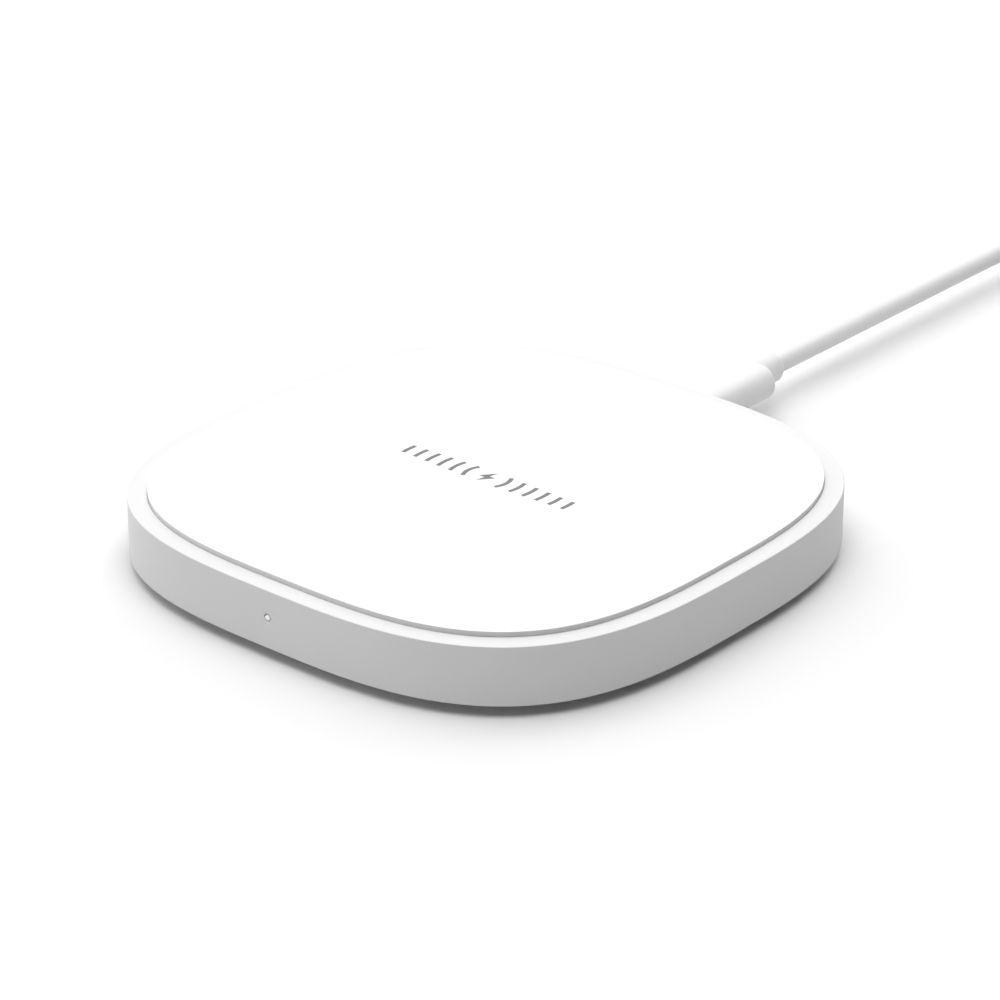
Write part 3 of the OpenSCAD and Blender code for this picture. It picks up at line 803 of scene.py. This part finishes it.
def coil_point(turns):
    """The cable's centre after that many turns of its coil: in on the upper layer, out on the lower. It is
    lifted where the tie passes under it."""
    half = COIL_TURNS / 2
    pitch = 2 * CABLE_R
    crossing = 0.28        # turns each side of the middle in which it comes down to the lower layer
    tie_reach = 0.3        # radians over which the tie's lift fades
    radius = COIL_R - pitch * (half - abs(half - turns))
    angle = math.pi - 2 * math.pi * turns
    share = min(1.0, max(0.0, (turns - half + crossing) / (2 * crossing)))
    share = share * share * (3 - 2 * share)
    away = (angle - TIE_ANGLE + math.pi) % (2 * math.pi) - math.pi
    lift = TIE_THICK * math.exp(-(away / tie_reach) ** 2)
    z = CABLE_R * (3 - 2 * share) + lift
    return Vector((COIL_AT[0] + radius * math.cos(angle), COIL_AT[1] + radius * math.sin(angle), z))


def cable():
    steps = 32             # points in each turn
    turns = [(i + 0.5) / steps for i in range(int(COIL_TURNS * steps) - 1)]
    points = [Vector(p) * MM for p in RUN_POINTS]
    points += [coil_point(t) for t in turns]
    points += [Vector(p) * MM for p in END_POINTS]
    curve = bpy.data.curves.new("cable", "CURVE")
    curve.dimensions = "3D"
    curve.bevel_depth = CABLE_R
    curve.bevel_resolution = 7
    curve.resolution_u = 4
    curve.use_fill_caps = True
    spline = curve.splines.new("BEZIER")
    spline.bezier_points.add(len(points) - 1)
    for knot, p in zip(spline.bezier_points, points):
        knot.co = p
        knot.handle_left_type = "AUTO"
        knot.handle_right_type = "AUTO"
    piece = mesh_object("cable", curve)
    finished(piece, "jacket_white", "cable", "cable_run", "cable_coil", "cable_end")
    pieces = ["plug_grip", "plug_neck", "plug_tip", "strap", "usb_a_grip", "usb_a_neck", "usb_a_tube"]
    pieces += ["plug_insulator", "plug_contacts", "plug_board", "usb_a_insulator", "usb_a_contacts"]


def strap():
    """The tie: a band round the coil's bundle, with its free end laid back over the top."""
    inner = COIL_R - 2 * CABLE_R * COIL_TURNS / 2 - CABLE_R - TIE_SLACK - TIE_THICK
    outer = COIL_R + CABLE_R + TIE_SLACK + TIE_THICK
    thick = TIE_THICK * 0.8            # thinner than in the CAD, because two layers lie on top
    top = high("cable_tie").z - 0.15 * MM
    over = top + thick + 0.03 * MM     # where the free end lies
    free_end, tucked_end = inner + 5 * MM, inner + 12 * MM
    bend, free_bend = 1.6 * MM, 1.9 * MM
    loop = rounded([
        (free_end, over), (outer, over, free_bend), (outer, 0, bend), (inner, 0, bend),
        (inner, top, bend), (tucked_end, top),
    ], steps=6)
    half, edge = TIE_WIDTH / 2, 0.12 * MM
    section = [
        (-half + edge, 0), (half - edge, 0), (half, edge), (half, thick - edge),
        (half - edge, thick), (-half + edge, thick), (-half, thick - edge), (-half, edge),
    ]
    hub = Vector((*COIL_AT, 0))
    out = Vector((math.cos(TIE_ANGLE), math.sin(TIE_ANGLE), 0))
    side = Vector((-math.sin(TIE_ANGLE), math.cos(TIE_ANGLE), 0))
    rings = []
    for i, p in enumerate(loop):
        along = (loop[min(i + 1, len(loop) - 1)] - loop[max(i - 1, 0)]).normalized()
        inward = Vector((along.y, -along.x))
        ring = []
        for s, d in section:
            at = p + inward * d
            ring.append(hub + out * at.x + side * s + Vector((0, 0, at.y)))
        rings.append(ring)
    finished(loft("strap", rings), "tie_grey", "cable", "cable_tie")


# ---- CAD nodes that stay as they are ----

# Width in millimetres of the fine bevel on each block-like part
BEVELS = {
    "controller_chip": 0.08, "bridge_transistors": 0.06, "resonant_capacitors": 0.15,
    "input_capacitors": 0.12, "input_inductor": 0.35, "sense_resistor": 0.06, "crystal": 0.2,
    "voltage_regulator": 0.08, "small_passives": 0.08, "status_led": 0.06, "thermal_pad": 0.1,
    "circuit_board": 0.05, "usb_a_insulator": 0.08, "usb_a_contacts": 0.03, "plug_insulator": 0.04,
    "socket_tongue": 0.08,
}
BEVEL_ANGLE = math.radians(40)         # edges sharper than this are bevelled
WELD = 0.002 * MM                      # points closer than this become one before the bevel


def cad_nodes():
    """Every CAD node gets its slot's material, and some get a bevel."""
    slots = {row["node"]: row["material_slot"] for row in frame["record"]["subparts"]}
    for name, node in NODES.items():
        node.data.materials.clear()
        node.data.materials.append(MATERIALS[slots[name]])
        if name in BEVELS:
            node.modifiers.new("weld", "WELD").merge_threshold = WELD
            bevel = node.modifiers.new("bevel", "BEVEL")
            bevel.width = BEVELS[name] * MM
            bevel.segments = 2
            bevel.limit_method = "ANGLE"
            bevel.angle_limit = BEVEL_ANGLE


# ---- Camera, light and floor ----

CAMERA_AZIMUTH = math.radians(40.4)    # round to the right of the status light
CAMERA_ELEVATION = math.radians(25.18)
CAMERA_DISTANCE = 563.3 * MM
AIM_RIGHT, AIM_DOWN = 2.03 * MM, 3.65 * MM     # from the middle of the plate to where the camera looks
FOCAL_LENGTH = 129.24      # in millimetres, as Blender counts it
SENSOR_WIDTH = 36          # in millimetres too
FLOOR_HALF = 6.0
FLOOR_TONES = (0.73, 0.75)
LAMPS = [
    # name, place, diameter, power in watts
    ("overhead", (0, 0, 1.5), 2.2, 19.5),
    ("front", (0.28, -0.28, 1.45), 1.2, 9.2),
    ("behind", (0, 1.3, 0.9), 1.2, 7),
]
LEFT_GLOW = 1.72           # the sky's strength towards -X. It falls to none overhead and on the +X side
HORIZON = (0.03, 0.07)     # the white at the horizon fades out between these, as the Z of a direction


def camera():
    """The camera, at the photograph's angle."""
    flat = math.cos(CAMERA_ELEVATION)
    back = Vector((
        math.sin(CAMERA_AZIMUTH) * flat, -math.cos(CAMERA_AZIMUTH) * flat, math.sin(CAMERA_ELEVATION),
    ))
    right = Vector((math.cos(CAMERA_AZIMUTH), math.sin(CAMERA_AZIMUTH), 0))
    up = back.cross(right)
    aim = Vector((0, 0, TOP_Z)) + right * AIM_RIGHT - up * AIM_DOWN
    data = bpy.data.cameras.new("camera")
    data.lens = FOCAL_LENGTH
    data.sensor_width = SENSOR_WIDTH
    data.clip_start = 0.01
    data.clip_end = 50
    eye = bpy.data.objects.new("camera", data)
    eye.location = aim + back * CAMERA_DISTANCE
    eye.rotation_mode = "QUATERNION"
    eye.rotation_quaternion = (-back).to_track_quat("-Z", "Y")
    scene = bpy.context.scene
    scene.collection.objects.link(eye)
    scene.camera = eye
    scene.view_settings.view_transform = "Standard"


def area_light(name, place, size, power):
    """A round soft light that faces the middle of the pad."""
    data = bpy.data.lights.new(name, "AREA")
    data.shape = "DISK"
    data.size = size
    data.energy = power
    lamp = bpy.data.objects.new(name, data)
    lamp.location = place
    lamp.rotation_mode = "QUATERNION"
    lamp.rotation_quaternion = (-Vector(place)).to_track_quat("-Z", "Y")
    bpy.context.scene.collection.objects.link(lamp)


def studio_floor():
    """A plain pale floor, with slow changes of tone."""
    half = FLOOR_HALF
    corners = [(-half, -half, 0), (half, -half, 0), (half, half, 0), (-half, half, 0)]
    mesh = bpy.data.meshes.new("floor")
    mesh.from_pydata(corners, [], [(0, 1, 2, 3)])
    floor = mesh_object("floor", mesh)
    material, tree, shader = new_tree("floor_white")
    darker, lighter = [(tone, tone, tone) for tone in FLOOR_TONES]
    tree.links.new(tinted(tree, noise(tree, 0.4, 1.0), darker, lighter), shader.inputs["Base Color"])
    set_inputs(shader, {"Roughness": 0.9, "Specular IOR Level": 0.1})
    mesh.materials.append(material)


def sky():
    """White at and below the horizon, and above it a glow from -X."""
    world = bpy.data.worlds.new("world")
    world.use_nodes = True
    tree = world.node_tree
    place = add(tree, "ShaderNodeTexCoord")
    split = add(tree, "ShaderNodeSeparateXYZ")
    tree.links.new(place.outputs["Generated"], split.inputs["Vector"])
    horizon = mapped(tree, split.outputs["Z"], HORIZON, (1, 0), interpolation_type="SMOOTHSTEP")
    left = math_node(tree, "MAXIMUM", math_node(tree, "MULTIPLY", split.outputs["X"], -LEFT_GLOW), 0)
    background = tree.nodes["Background"]
    background.inputs["Color"].default_value = (1, 1, 1, 1)
    tree.links.new(math_node(tree, "ADD", left, horizon), background.inputs["Strength"])
    bpy.context.scene.world = world


camera()
studio_floor()
for lamp in LAMPS:
    area_light(*lamp)
sky()
cad_nodes()
top_plate()
housing()
bottom_cover()
foot_ring()
light_pipe()
printed_mark()
socket_tube()
plug_tip()
plug_grip()
collar("plug_neck", "plug_collar")
strap()
usb_a_grip()
usb_a_tube()
collar("usb_a_neck", "usb_a_collar")
cable()
